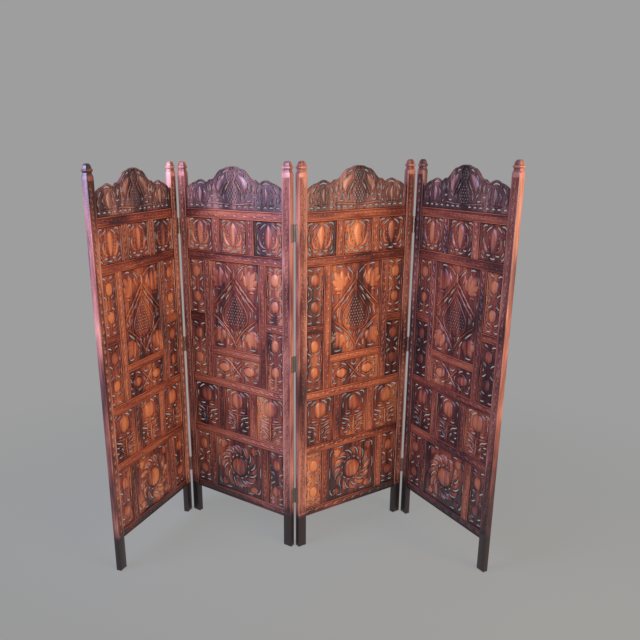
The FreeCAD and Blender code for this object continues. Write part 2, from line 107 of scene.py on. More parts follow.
WIDE_WIDTH = CLEAR_WIDTH - 2 * (SIDE_WIDTH + MUNTIN_WIDTH)
LONG_PITCH = WIDE_WIDTH + MUNTIN_WIDTH
SIDE_PITCH = LONG_PITCH + MUNTIN_WIDTH + SIDE_WIDTH
RAIL_FOOTS = [LEG_Z] + [top - RAIL_HEIGHT for top in (LOWER_Z, MIDDLE_Z, UPPER_Z, CREST_Z)]
SILL_Z = MIDDLE_Z + FRIEZE_HIGH
GRAPE_Z = SILL_Z + SMALL_RAIL_HEIGHT
SIDE_CROSS_Z = MIDDLE_Z + SIDE_LOWER_HIGH
SIDE_UPPER_Z = SIDE_CROSS_Z + SMALL_RAIL_HEIGHT

# %% [markdown]
# Wood shows its grain along each stick, whichever way the stick lies. A pattern on Object coordinates would
# run upwards in the rails too, so each vertex keeps its place in its own piece of timber, with z along the
# grain, in an attribute that the wood reads. A second attribute is a small shade of difference between one
# piece of timber and the next. The third is the height of the carving, from 0 at its ground to 1 at its
# highest. The wood is drawn lighter on the high places, partly as wear from hands and dusters and partly as a
# painted highlight. The same attribute paints the legs nearly black as painted shade, and this painted shade
# fades out over the first few centimetres above them.

# %% Timber: grain, shade, and wear with painted light kept with each vertex
GRAIN, SHADE, WEAR_AND_PAINTED_LIGHT = "grain_place", "timber_shade", "carving_wear_and_painted_light"
SHADE_SPREAD, SHADE_TURN = 0.5, 2.4
STICK_STEP = Vector((0.37, 0.61, 0.83))
# The legs' value lies below the wood's ramp: painted shade, near black.
PLAIN_WEAR, LEG_PAINTED_SHADE = 0.5, -3
# How high above the legs the painted shade fades out, in mm, and how dark it starts.
FOOT_SHADE_HIGH, FOOT_SHADE_DEPTH = 60, 1.4
sticks = 0


def as_timber(shape, top, relief, lengthways=False):
    """Give each vertex its place in its own piece of timber, the shade of the piece, and its wear and painted light.
    """
    global sticks
    sticks += 1
    place_layer = shape.verts.layers.float_vector.new(GRAIN)
    shade_layer = shape.verts.layers.float.new(SHADE)
    wear_and_light_layer = shape.verts.layers.float.new(WEAR_AND_PAINTED_LIGHT)
    shade = SHADE_SPREAD * math.sin(sticks * SHADE_TURN)
    start = STICK_STEP * sticks
    for vert in shape.verts:
        x, y, z = vert.co * MM
        vert[place_layer] = (Vector((z, y, x)) if lengthways else Vector((x, y, z))) + start
        vert[shade_layer] = shade
        # Higher carving is drawn lighter: wear, and a painted highlight on the high places.
        height = 1 - (top + vert.co.y) / relief
        # Painted shade, darkest at the legs, fading out over the next few centimetres up.
        foot_shade = FOOT_SHADE_DEPTH * max(0, 1 - (vert.co.z - LEG_Z) / FOOT_SHADE_HIGH)
        vert[wear_and_light_layer] = (PLAIN_WEAR if vert.co.y > 0 else min(1, max(0, height))) - foot_shade
        # The legs get painted shade: the wood there is drawn nearly black.
        if round(vert.co.z) < LEG_Z:
            vert[wear_and_light_layer] = LEG_PAINTED_SHADE


# %% Shapes into meshes, and meshes into the scene
def as_mesh(name, shape):
    """Turn a finished shape into a mesh."""
    mesh = bpy.data.meshes.new(name)
    shape.to_mesh(mesh)
    shape.free()
    return mesh


def put(name, data):
    """Put an object with this data into the scene."""
    thing = bpy.data.objects.new(name, data)
    bpy.context.scene.collection.objects.link(thing)
    return thing


def only(kind, made):
    """The vertices, edges or faces among what an operator made."""
    return [item for item in made if isinstance(item, kind)]


def add_to(shape, part):
    """Join a finished part into a larger shape."""
    mesh = as_mesh("part", part)
    shape.from_mesh(mesh)
    bpy.data.meshes.remove(mesh)


# %% [markdown]
# A shape that is ready goes onto all four leaves: its mesh is copied, moved to the leaf, and given the next
# stretch of timber so that no two leaves show the same grain. The fourth leaf is drawn darker than the others.
# The shape rides on the leaf's body and stands for the solids that it covers.

# %% Put one shape on the four leaves
SMOOTH_BELOW = math.radians(38)
LEAF_SHADES = {1: -0.05, 2: 0.1, 3: 0.1, 4: -0.55}
LEAF_STEP = 1.7


def dress(name, shape, nodes, material):
    """Copy a shape onto every leaf, in place of the leaf's nodes of these names."""
    bmesh.ops.recalc_face_normals(shape, faces=shape.faces)
    base = as_mesh(name, shape)
    triangles = sum(len(face.vertices) - 2 for face in base.polygons)
    for number in LEAVES:
        mesh = base.copy()
        for layer, kind, width, step in (
            (GRAIN, "vector", 3, LEAF_STEP * number), (SHADE, "value", 1, LEAF_SHADES[number])
        ):
            held = np.zeros(width * len(mesh.vertices), np.float32)
            mesh.attributes[layer].data.foreach_get(kind, held)
            mesh.attributes[layer].data.foreach_set(kind, held + step)
        mesh.transform(places[number])
        mesh.materials.append(material)
        mesh.shade_smooth()
        mesh.set_sharp_from_angle(angle=SMOOTH_BELOW)
        piece = put(f"leaf_{number}_{name}", mesh)
        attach(piece, f"leaf_{number}")
        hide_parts(*[f"leaf_{number}_{node}" for node in nodes])
    bpy.data.meshes.remove(base)
    print(f"{name}: {triangles} triangles a leaf")

# %% [markdown]
# ## Wood
# The screen is sheesham, an Indian rosewood: red-brown heartwood with darker streaks along the grain. It is
# carved, stained and thinly varnished. Stain and old polish gather in the recesses and wear off the high
# places. On top of that, the recesses and the places where parts meet get painted shade and the high places a
# painted highlight, which makes carving readable. Ambient occlusion finds the recesses, and the grain is noise
# that is stretched along the timber.

# %% Colours and nodes
def colour(code):
    """A written sRGB colour as the linear one that a shader takes."""
    parts = [int(code[n : n + 2], 16) / 255 for n in (1, 3, 5)]
    return [*(p / 12.92 if p <= 0.04045 else ((p + 0.055) / 1.055) ** 2.4 for p in parts), 1.0]


def add_node(owner, kind, settings=(), **links):
    """Add a shader node, with its settings, and its inputs set or linked by name, or by number after a _."""
    node = owner.node_tree.nodes.new("ShaderNode" + kind)
    settings = dict(settings)
    for number, (place, code) in enumerate(settings.pop("stops", ())):
        stop = node.color_ramp.elements[number] if number < 2 else node.color_ramp.elements.new(place)
        stop.position, stop.color = place, colour(code)
    for key, value in settings.items():
        setattr(node, key, value)
    for key, value in links.items():
        socket = node.inputs[int(key[1:])] if key[1:].isdigit() else node.inputs[key.replace("_", " ")]
        if isinstance(value, bpy.types.Node):
            value = value.outputs[0]
        if isinstance(value, bpy.types.NodeSocket):
            owner.node_tree.links.new(value, socket)
        else:
            socket.default_value = value
    return node


def new_material(name):
    material = bpy.data.materials.new(name)
    material.use_nodes = True
    material.node_tree.nodes.clear()
    return material


# %% The sheesham
# Streaks of heartwood are about 12 mm wide and eleven times as long. Golden sapwood comes in bands some 90 mm
# wide. The pores would not show at their size, so they are drawn about 2 mm apart. The gouge leaves facets
# about 5 mm wide, which break up the shine of the varnish. A recess, which gets old polish and painted shade,
# is what other wood stands round within 7 mm.
STREAK_MM, SAPWOOD_MM, PORE_MM, GOUGE_MM, RECESS_MM = 12, 90, 2.2, 5, 7
STREAK_STRETCH, SAPWOOD_STRETCH = (1, 1, 0.09), (1, 1, 0.3)
WEAR_AND_LIGHT_SHARE, SHADE_SHARE, SAPWOOD_SHARE = 0.36, 0.2, 1.5
TONE_DARK, TONE_LIGHT = 0.72, 1.84


def sheesham(name, dark, middle, light):
    """Carved, stained and varnished rosewood between three colours."""
    wood = new_material(name)
    place = add_node(wood, "Attribute", {"attribute_name": GRAIN}).outputs["Vector"]
    shade, wear_and_painted_light = (add_node(wood, "Attribute", {"attribute_name": kept}).outputs["Fac"] for kept in (SHADE, WEAR_AND_PAINTED_LIGHT))
    long_place = add_node(wood, "Mapping", Vector=place, Scale=STREAK_STRETCH)
    wide_place = add_node(wood, "Mapping", Vector=place, Scale=SAPWOOD_STRETCH)
    streaks = add_node(wood, "TexNoise", Vector=long_place, Scale=1 / (STREAK_MM * MM), Detail=4.0, Distortion=0.6)
    sapwood = add_node(wood, "TexNoise", Vector=wide_place, Scale=1 / (SAPWOOD_MM * MM), Detail=2.0)
    tone = streaks
    for layer, share in ((wear_and_painted_light, WEAR_AND_LIGHT_SHARE), (shade, SHADE_SHARE), (sapwood, SAPWOOD_SHARE)):
        tone = add_node(wood, "Math", {"operation": "MULTIPLY_ADD"}, _0=layer, _1=share, _2=tone)
    even = add_node(wood, "MapRange", Value=tone, From_Min=TONE_DARK, From_Max=TONE_LIGHT)
    # The near-black first stop is painted shade, reached on the legs and just above them.
    stain_and_leg_shade = ((0.0, "#2a1f22"), (0.27, dark), (0.52, middle), (0.85, light))
    grain = add_node(wood, "ValToRGB", {"stops": stain_and_leg_shade}, Fac=even)
    # Ambient occlusion darkens the recesses and the places where parts meet: old polish, and painted shade.
    hollow = add_node(wood, "AmbientOcclusion", {"samples": 6}, Distance=RECESS_MM * MM).outputs["AO"]
    recess_and_shade = add_node(wood, "Math", {"operation": "POWER"}, _0=hollow, _1=1.6)
    polish_and_shade_stops = ((0.12, "#160a0a"), (0.62, "#a08078"), (0.95, "#ffffff"))
    polish_and_shade = add_node(wood, "ValToRGB", {"stops": polish_and_shade_stops}, Fac=recess_and_shade)
    multiply = {"data_type": "RGBA", "blend_type": "MULTIPLY"}
    base = add_node(wood, "Mix", multiply, Factor=1.0, _6=grain, _7=polish_and_shade).outputs[2]
    rough = add_node(wood, "MapRange", Value=streaks, To_Min=0.34, To_Max=0.50)
    gouged = add_node(wood, "TexNoise", Vector=place, Scale=1 / (GOUGE_MM * MM), Detail=1.0)
    pores = add_node(wood, "TexNoise", Vector=long_place, Scale=1 / (PORE_MM * MM), Detail=2.0)
    facets = add_node(wood, "Bump", Height=gouged, Strength=0.4, Distance=0.002)
    bump = add_node(wood, "Bump", Height=pores, Strength=0.25, Distance=0.0004, Normal=facets)
    shader = add_node(
        wood, "BsdfPrincipled", Base_Color=base, Roughness=rough, Normal=bump, Coat_Weight=0.6, Coat_Roughness=0.32
    )
    add_node(wood, "OutputMaterial", Surface=shader)
    return wood


# The boards go from near black in the hollows to gold on the high places, so the carving reads from afar. The
# hollows carry painted shade and the high places a painted highlight, as well as stain and wear.
jali_wood = sheesham("sheesham_carved_varnished", "#462a30", "#9a5444", "#de9466")
# Rails and muntins are redder and less golden, so the frame shows as quiet lines round the boards.
frame_wood = sheesham("sheesham_moulded_varnished", "#46292d", "#8e4b40", "#d28462")
# Hands have polished the posts to a paler, pinker brown that catches the light along their edges.
post_wood = sheesham("sheesham_post_varnished", "#492d32", "#8e564e", "#d89a86")
# The crests are a darker, cooler brown than the rest; their darkness is painted shade at the top of the screen.
crest_wood = sheesham("sheesham_crest_varnished", "#35272e", "#705050", "#bc8c80")

# %% [markdown]
# ## Carving tools
# A jali board is sawn through in many small slits, and then carved on its face. Two tools draw nearly
# everything. A slit is a pointed opening along a line. A carved strip is a raised form along a line: a leaf,
# a petal or a vine, by its width and its height. Boards are drawn lying down, with x across, y up the board
# and z out of its face, and are stood up when they are done. Most designs are the same on both sides of the
# board's middle, so one side is written and mirrored.

# %% Lines to draw along
def polar(turn, away):
    """A point at this distance from the board's middle, turned in degrees from the right."""
    return Vector((math.cos(math.radians(turn)), math.sin(math.radians(turn)))) * away


def arc(x, y, radius, start, end, steps):
    """Points of an arc, with its angles in degrees from the right."""
    return [Vector((x, y)) + polar(start + (end - start) * n / (steps - 1), radius) for n in range(steps)]


def curve(*points, steps=5):
    """A smooth line through a few points."""
    ends = [Vector(point) for point in points]
    ends = [2 * ends[0] - ends[1]] + ends + [2 * ends[-1] - ends[-2]]
    line = []
    for a, b, c, d in zip(ends, ends[1:], ends[2:], ends[3:]):
        for n in range(steps):
            t = n / steps
            bend = (2 * a - 5 * b + 4 * c - d) * t**2 + (3 * b - a - 3 * c + d) * t**3
            line.append(b + (c - a) * t / 2 + bend / 2)
    return line + [ends[-2]]


def beside(line, gap):
    """The same line moved to its left by a gap."""
    return [point + square(line, n) * gap for n, point in enumerate(line)]


def square(line, n):
    """The direction square to a line at one of its points, to its left."""
    ahead = line[min(n + 1, len(line) - 1)] - line[max(n - 1, 0)]
    return Vector((-ahead.y, ahead.x)).normalized()


def both_sides(*lines):
    """Lines together with their mirror images in the board's middle."""
    return [one for line in lines for one in (line, [Vector((-p.x, p.y)) for p in line])]


# %% [markdown]
# An opening is a closed outline. Blender's triangle fill takes the outline of a board with the outlines of
# its openings and fills what lies between them, which saves a boolean for every slit. A carver opens up each
# slit with a knife from both faces, so the face is extruded three times, and the outlines close in and open
# out again on the way to the back. The board is planed a little thinner than its groove, so that light comes
# through the slits at a slant too.

# %% Slits, drilled holes and the board between them
FLARE, SAWN_THICK = 1.7, 5.6
SLIT, FINE_SLIT, BLUNT = 5.2, 5, 0.55


def slit(width, line):
    """A pointed opening along a line."""
    last = len(line) - 1
    offsets = [square(line, n) * width / 2 * math.sin(math.pi * n / last) ** BLUNT for n in range(last + 1)]
    left = [p + offset for p, offset in zip(line, offsets)]
    right = [p - offset for p, offset in zip(line, offsets)]
    return left[:-1] + list(reversed(right))[:-1]


def slits(width, *plans):
    """Slits along curves that are given by their steps and points, and the mirror images of the slits."""
    return [slit(width, line) for steps, *points in plans for line in both_sides(curve(*points, steps=steps))]


def hole(x, y, radius, count=8):
    return arc(x, y, radius, 360 - 360 / count, 0, count)


def corners(x, y):
    return [Vector(point) for point in ((-x, -y), (x, -y), (x, y), (-x, y))]


def wider(loop, gap):
    """A closed outline with a gap added all round; it runs clockwise."""
    ahead = [after - before for before, after in zip(loop[-1:] + loop[:-1], loop[1:] + loop[:1])]
    return [point + Vector((-way.y, way.x)).normalized() * gap for point, way in zip(loop, ahead)]


def pierced(outline, openings):
    """A board with these openings cut through it, its face at z = 0."""
    board = bmesh.new()
    edges, throat, mouth = [], list(outline), list(outline)
    for loop in openings:
        throat += loop
        mouth += wider(loop, FLARE)
    for loop in [outline] + [wider(loop, FLARE) for loop in openings]:
        verts = [board.verts.new((p.x, p.y, 0)) for p in loop]
        edges += [board.edges.new(pair) for pair in zip(verts, verts[1:] + verts[:1])]
    front = [tuple(vert.co.xy) for vert in board.verts]
    bmesh.ops.triangle_fill(board, edges=edges, use_beauty=True, normal=(0, 0, 1))
    bmesh.ops.recalc_face_normals(board, faces=board.faces)
    region = list(board.faces)
    for before, places_now, depth in (
        (front, throat, FLARE), (throat, throat, SAWN_THICK - FLARE), (throat, mouth, SAWN_THICK)
    ):
        numbers = {(round(x, 3), round(y, 3)): n for n, (x, y) in enumerate(before)}
        made = bmesh.ops.extrude_face_region(board, geom=region)["geom"]
        region = only(BMFace, made)
        for vert in only(BMVert, made):
            place = places_now[numbers[round(vert.co.x, 3), round(vert.co.y, 3)]]
            vert.co = (place[0], place[1], -depth)
    return board


# %% [markdown]
# A carved strip starts as a grid. Its length is laid along the line, its width swells and tapers, and its
# middle rises as a dome. A vein is a furrow down the middle. The rim is drawn down into the board, so that
# each form is closed and grows out of the wood.

# %% Leaves, petals and vines
# Each outline gives the share of the full width at shares of the length. Thin ends keep some of the rise.
ROOT, THIN_RISE = 0.8, 0.35
BEAD, BEAD_RISE = 5, 2.4
LEAF = ((0, 0.12), (0.15, 0.62), (0.4, 1), (0.7, 0.72), (0.9, 0.3), (1, 0.04))
PETAL = ((0, 0.25), (0.35, 0.8), (0.65, 1), (0.88, 0.66), (1, 0.12))
VINE = ((0, 0.35), (0.12, 1), (0.85, 0.9), (1, 0.1))
BAND = ((0, 1), (1, 1))


def carve(board, line, width, rise, shape=LEAF, vein=0.0, across=4):
    """Raise a form along a line on the face of a board."""
    last = len(line) - 1
    made = bmesh.ops.create_grid(board, x_segments=last, y_segments=across, size=0.5)["verts"]
    for vert in made:
        n = round((vert.co.x + 0.5) * last)
        side = vert.co.y * 2
        swell = float(np.interp(n / last, *zip(*shape)))
        point = line[n] + square(line, n) * side * swell * width / 2
        dome = (1 - side**2) * min(1, THIN_RISE + swell) - vein * max(0, 1 - abs(side) * across / 2)
        vert.co = (point.x, point.y, rise * dome)
    rim = [edge for edge in {edge for vert in made for edge in vert.link_edges} if edge.is_boundary]
    skirt = bmesh.ops.extrude_edge_only(board, edges=rim)["geom"]
    for vert in only(BMVert, skirt):
        vert.co.z = -ROOT
    bmesh.ops.contextual_create(board, geom=[edge for edge in only(BMEdge, skirt) if edge.is_boundary])


def carve_pairs(board, *plans):
    """Carve forms that are given by width, rise, outline, steps and points, and their mirror images."""
    for width, rise, shape, steps, *points in plans:
        for line in both_sides(curve(*points, steps=steps)):
            carve(board, line, width, rise, shape)


def boss(board, x, y, across, up, rise, sides=8):
    """A smooth round or oval that stands half out of the face."""
    oval = Matrix.Translation((x, y, 0)) @ Matrix.Diagonal((across, up, rise, 1))
    bmesh.ops.create_uvsphere(board, u_segments=sides, v_segments=sides // 2, radius=1, matrix=oval)


def jali_board(width, height, openings):
    """A pierced board with its tongues, and a bead round its edge inside the frame."""
    board = pierced(corners(width / 2 + TONGUE, height / 2 + TONGUE), openings)
    ends = corners((width - BEAD) / 2, (height - BEAD) / 2)
    for start, end in zip(ends, ends[1:] + ends[:1]):
        carve(board, [start, (start + end) / 2, end], BEAD, BEAD_RISE, BAND, across=2)
    return board


# %% Stand a board up in its leaf
# The highest carving stands 4.8 mm out of the face.
RELIEF = 4.8
TURN_UP = Matrix.Rotation(math.pi / 2, 4, "X")


def stand(board, middle, low, height):
    """Turn a board up so that its face looks forward, with its middle and its low edge in place."""
    board.transform(Matrix.Translation((middle, -BOARD_THICK / 2, low + height / 2)) @ TURN_UP)
    as_timber(board, BOARD_THICK / 2 + RELIEF, RELIEF)
    return board


# %% [markdown]
# ## The small jalis
# Each leaf has three near-square jalis at the top, with a broad smooth leaf under a pointed arch of slits, and
# three taller ones lower down, with a smooth oval over a spray of ribs. Each is sawn before it is carved.

# %% The upper jali
def upper_jali(width, height):
    """A smooth pointed leaf between four drilled dots, in a frame of slits."""
    openings = slits(
        SLIT, (4, (-11, 54), (-26, 47), (-43, 31)), (3, (-58, 42), (-56, 52), (-46, 57), (-33, 56)),
        (4, (-50, 20), (-54, 4), (-52, -12)), (4, (-54, -24), (-51, -36), (-43, -44)),
        (4, (-35, -42), (-24, -45), (-11, -42)), (4, (-58, -40), (-54, -52), (-42, -57)),
    )
    openings.append(slit(SLIT, curve((-15, -53), (0, -56), (15, -53), steps=4)))
    openings += [hole(x, y, 3) for x in (-25, 25) for y in (-16, 17)]
    board = jali_board(width, height, openings)
    carve(board, curve((0, -36), (0, 50), steps=8), 38, 4.4, PETAL)
    carve_pairs(
        board, (14, 3.2, LEAF, 5, (8, -36), (32, -28), (42, -4), (36, 24)),
        (9, 2.4, LEAF, 3, (16, 6), (26, 2), (34, 0)), (8, 2.8, LEAF, 4, (60, 30), (48, 43), (30, 51)),
        (5, 2.4, VINE, 4, (60, 20), (61, -4), (60, -30)), (5, 2.2, VINE, 3, (38, -51), (28, -54), (19, -58)),
    )
    return board


# %% The lower jali
def lower_jali(width, height):
    """A smooth oval under a pointed arch, over ribs that spread from a stem."""
    openings = slits(
        SLIT, (4, (-11, 85), (-26, 79), (-42, 66)), (3, (-58, 68), (-57, 80), (-46, 87), (-32, 87)),
        (4, (-48, 56), (-52, 42), (-49, 26)), (4, (-38, 3), (-25, -1), (-10, 4)),
        (3, (-57, -12), (-42, -20), (-27, -25), (-12, -37)), (3, (-56, -34), (-46, -38), (-34, -40)),
        (3, (-26, -44), (-19, -52), (-11, -64)), (3, (-56, -52), (-50, -60), (-38, -62)),
        (4, (-46, -77), (-33, -80), (-18, -76)),
    )
    board = jali_board(width, height, openings)
    boss(board, 0, 46, 29, 34, 4.6, 16)
    carve(board, curve((0, -86), (0, -6), steps=7), 9, 3.8, VINE)
    carve_pairs(
        board, (8, 2.8, LEAF, 4, (8, 12), (34, 14), (46, 18)), (8, 3.4, VINE, 4, (2, -12), (28, -11), (60, -2)),
        (6, 3.2, VINE, 4, (3, -44), (22, -36), (58, -25)),
        (6, 3.2, VINE, 5, (3, -76), (24, -60), (34, -50), (60, -43)),
        (5, 2.6, VINE, 4, (6, -84), (26, -70), (58, -70)), (5, 2.4, VINE, 4, (60, 52), (61, 30), (58, 8)),
    )
    return board


# %% [markdown]
# The side columns hold tall narrow jalis, and so does the foot, on each side of the wreath. Each has a smooth
# oval above and below, and between them slits that lean together from the four corners, with a short upright
# rib on each side.

# %% The side jali
def side_jali(width, height, upper, crossing, lower):
    """Two smooth ovals with leaning slits between them, at these heights from the board's middle."""
    top = height / 2
    openings = slits(
        FINE_SLIT, (4, (-32, top - 11), (-20, top - 13), (-7, top - 20)),
        (4, (-33, upper + 18), (-34, upper + 2), (-29, upper - 16)),
        (4, (-32, crossing + 28), (-20, crossing + 22), (-9, crossing + 12)),
        (4, (-31, crossing + 9), (-26, crossing), (-31, crossing - 9)),
        (4, (-32, crossing - 28), (-20, crossing - 22), (-9, crossing - 12)),
        (4, (-29, lower + 16), (-34, lower - 2), (-33, lower - 18)),
        (4, (-30, lower - 26), (-20, lower - 32), (-7, lower - 36)),
        (4, (-32, 11 - top), (-20, 9 - top), (-8, 12 - top)),
    )
    board = jali_board(width, height, openings)
    boss(board, 0, upper, 20, 25, 4.4, 14)
    boss(board, 0, lower, 20, 23, 4.4, 14)
    carve_pairs(
        board, (6, 4.2, VINE, 8, (34, crossing + 19), (34, crossing - 19)),
        (5, 2.6, LEAF, 5, (4, crossing - 27), (12, crossing - 30), (20, lower + 26)),
        (5, 2.6, LEAF, 5, (4, crossing + 27), (12, crossing + 30), (20, upper - 28)),
        (5, 3, VINE, 4, (33, top - 21), (20, top - 24), (5, top - 30)),
        (5, 3, VINE, 4, (33, lower - 34), (20, lower - 41), (3, lower - 46)),
    )
    return board


# %% [markdown]
# ## The grape panel
# The large panel is the show piece. A forked stem comes down from the top and gives two vines, each of two
# ribs, that run out to the sides. Two more come back together and cross at the foot. An onion-shaped bunch of
# grapes hangs between them, as a net of drilled holes with a bead between each two. Broad leaves fill the
# corners.

# %% Leaves with lobes
LOBES = ((-56, 0.62), (56, 0.62), (-27, 0.86), (27, 0.86), (0, 1.0))
LOBE_VEIN = 0.2


def vine_leaf(board, x, y, turn, length, width, rise):
    """A broad smooth leaf: a middle lobe over four side lobes."""
    foot = Vector((x, y))
    for lean, share in LOBES:
        line = curve(foot, foot + polar(turn + lean, length * share), steps=6)
        carve(board, line, width * share * 0.5, rise * (0.8 + 0.2 * share), LEAF, LOBE_VEIN)


# %% The grape panel
GRAPE_ACROSS, GRAPE_DOWN = 13, 11.5
BUNCH_ROWS = (1, 2, 3, 4, 5, 6, 7, 8, 7, 8, 5)
BUNCH_TOP = 44


def drilled_row(count, pitch, y):
    """The places of a row of holes, centred on the board."""
    return [((n - (count - 1) / 2) * pitch, y) for n in range(count)]


def grape_panel(width, height):
    """Paired vines round a bunch of grapes, with broad leaves in the corners."""
    rows = [drilled_row(count, GRAPE_ACROSS, BUNCH_TOP - n * GRAPE_DOWN) for n, count in enumerate(BUNCH_ROWS)]
    openings = slits(
        SLIT, (4, (-50, 164), (-30, 148), (-11, 130)), (4, (-19, 86), (-30, 72), (-42, 59)),
        (4, (-52, 50), (-66, 34), (-80, 22)), (4, (-98, 163), (-82, 166), (-64, 162)),
        (4, (-112, 150), (-114, 130), (-111, 108)), (4, (-112, 64), (-114, 44), (-110, 26)),
        (4, (-30, 50), (-42, 36), (-52, 20)), (4, (-72, -4), (-78, -22), (-76, -40)),
        (3, (-106, -20), (-100, -28), (-106, -38)), (4, (-100, -64), (-80, -78), (-58, -96)),
        (4, (-50, -104), (-38, -118), (-28, -136)), (3, (-30, -88), (-22, -100), (-14, -110)),
        (4, (-112, -80), (-114, -104), (-112, -128)), (4, (-104, -163), (-86, -166), (-66, -162)),
        (3, (-34, -164), (-26, -156), (-16, -152)),
    )
    openings += [hole(x, y, 3, 6) for row in rows for x, y in row]
    board = jali_board(width, height, openings)
    for row in rows:
        for x, y in row[1:]:
            boss(board, x - GRAPE_ACROSS / 2, y, 2.9, 4, 3.4, 6)
    carve(board, curve((0, 146), (0, 102)), 10, 4.4, VINE)
    carve_pairs(
        board, (7, 4.6, VINE, 5, (-2, 114), (-30, 84), (-66, 47), (-104, 11), (-117, 0)),
        (7, 4.6, VINE, 5, (-4, 90), (-24, 66), (-54, 36), (-84, 6), (-112, -16)),
        (7, 4.6, VINE, 5, (-116, -40), (-84, -60), (-42, -94), (-14, -130), (10, -168)),
        (6, 3.8, VINE, 5, (2, 64), (32, 24), (60, -16), (64, -50), (44, -80), (4, -92)),
        (7, 4.0, VINE, 5, (58, 166), (34, 158), (4, 134)), (6, 3.2, VINE, 4, (1, -98), (7, -106), (12, -118)),
        (16, 3.6, LEAF, 5, (30, 108), (42, 126), (44, 148)), (14, 3.4, LEAF, 5, (74, 62), (88, 66), (104, 62)),
        (13, 3.4, LEAF, 5, (88, 10), (92, -10), (90, -40)), (14, 3.4, LEAF, 5, (42, -130), (40, -148), (46, -164)),
    )
    for side in (-1, 1):
        turn = 90 - side * 90
        vine_leaf(board, side * 62, 84, turn + side * 52, 84, 92, 4.6)
        vine_leaf(board, side * 72, -98, turn - side * 58, 74, 92, 4.6)
    return board


# %% The frieze under the sill
def frieze_jali(width, height):
    """Two smooth ovals, with crossed ribs between them and beyond them."""
    openings = slits(
        SLIT, (4, (-106, 36), (-96, 40), (-84, 37)), (4, (-66, 38), (-50, 34), (-38, 24)),
        (4, (-106, -36), (-96, -40), (-84, -37)), (4, (-66, -38), (-50, -34), (-38, -24)),
        (4, (-111, 22), (-104, 12), (-111, 0)), (4, (-111, -10), (-104, -18), (-111, -26)),
        (4, (-24, 11), (-17, 0), (-24, -11)),
    )
    openings += [slit(SLIT, curve((-18, y), (0, middle), (18, y), steps=4)) for y, middle in ((36, 25), (-36, -25))]
    board = jali_board(width, height, openings)
    for side in (-1, 1):
        boss(board, side * 66, 0, 29, 20, 4.6, 16)
        carve_pairs(
            board,
            (6, 3, VINE, 5, (36, side * 12), (66, side * 28), (96, side * 10)),
            (6, 2.6, LEAF, 5, (92, side * 24), (102, side * 28), (114, side * 34)),
        )
    carve_pairs(board, (7, 4.4, VINE, 8, (-38, 36), (38, -36)))
    return board


# %% [markdown]
# ## The wreath
# The wide board at the foot has a wreath: twelve broad leaves that lean the same way round a smooth boss, and
# a broad leaf in each corner.

# %% The wreath
WREATH_LEAVES = 12
WREATH_STEP = 360 / WREATH_LEAVES
WREATH_VEIN = 0.4


def leaning(turn, *spots, steps=5):
    """A curve through points at these distances from the board's middle, each with its own lean in degrees."""
    return curve(*(polar(turn + lean, away) for away, lean in spots), steps=steps)


def wreath(width, height):
    """Leaning leaves in a ring, round a smooth boss."""
    openings = []
    for turn in np.arange(WREATH_LEAVES) * WREATH_STEP:
        openings.append(slit(FINE_SLIT, leaning(turn, (60, -2), (72, 4), (86, 14), (95, 26), steps=3)))
        openings.append(slit(FINE_SLIT, arc(0, 0, 51, turn + 5, turn + 25, 5)))
    openings += slits(
        FINE_SLIT, (4, (-112, 70), (-110, 92), (-94, 106)), (4, (-112, -70), (-110, -92), (-94, -106)),
        (4, (-113, 32), (-115, 0), (-113, -32)), (4, (-76, 107), (-60, 109), (-44, 107)),
        (4, (-76, -107), (-60, -109), (-44, -107)),
    )
    board = jali_board(width, height, openings)
    for turn in (np.arange(WREATH_LEAVES) + 0.5) * WREATH_STEP:
        carve(board, leaning(turn, (58, 0), (72, 6), (87, 15), (99, 29)), 20, 4.4, PETAL, WREATH_VEIN)
    boss(board, 0, 0, 40, 40, 5, 20)
    carve(board, arc(0, 0, 44, 90, 450, 41), 4, 2.8, BAND, across=2)
    for x in (-1, 1):
        for y in (-1, 1):
            vine_leaf(board, x * 74, y * 78, math.degrees(math.atan2(y, x)), 38, 44, 4)
    return board


# %% [markdown]
# ## The crest
# The crest is a shaped board that stands in grooves of the posts, over the top rail. Its edge is one smooth
# line: a tall arch in the middle and a lobe on each side. The arch holds a small bunch of drilled holes between
# paired ribs and two smooth leaves, and each lobe has a leaf between four drilled dots under a crescent. A row
# of dashes runs along the foot.

# %% The edge of the crest
CREST_EDGE = (
    (0, 159), (20, 157.5), (39, 151), (58, 146), (73, 135), (90, 118), (102, 111), (114, 111), (131, 100),
    (145, 106), (165, 111), (189, 102), (206, 97), (227, 86), (242, 70),
)
CREST_DASHES = (-217, -186, -158, -126, -92, -62, -33)
CREST_SMALL_ROWS = ((1, 144), (2, 134), (3, 124), (2, 113), (1, 102))
CREST_LARGE_ROWS = ((2, 84), (3, 73), (4, 62), (5, 51), (4, 40), (3, 29))


def crest_outline():
    """The crest's outline, from the middle of its foot."""
    end, height = CREST_EDGE[-1]
    half = curve(*CREST_EDGE, steps=3) + [Vector((end + TONGUE, height)), Vector((end + TONGUE, -TONGUE))]
    return [Vector((-p.x, p.y)) for p in reversed(half[1:])] + half


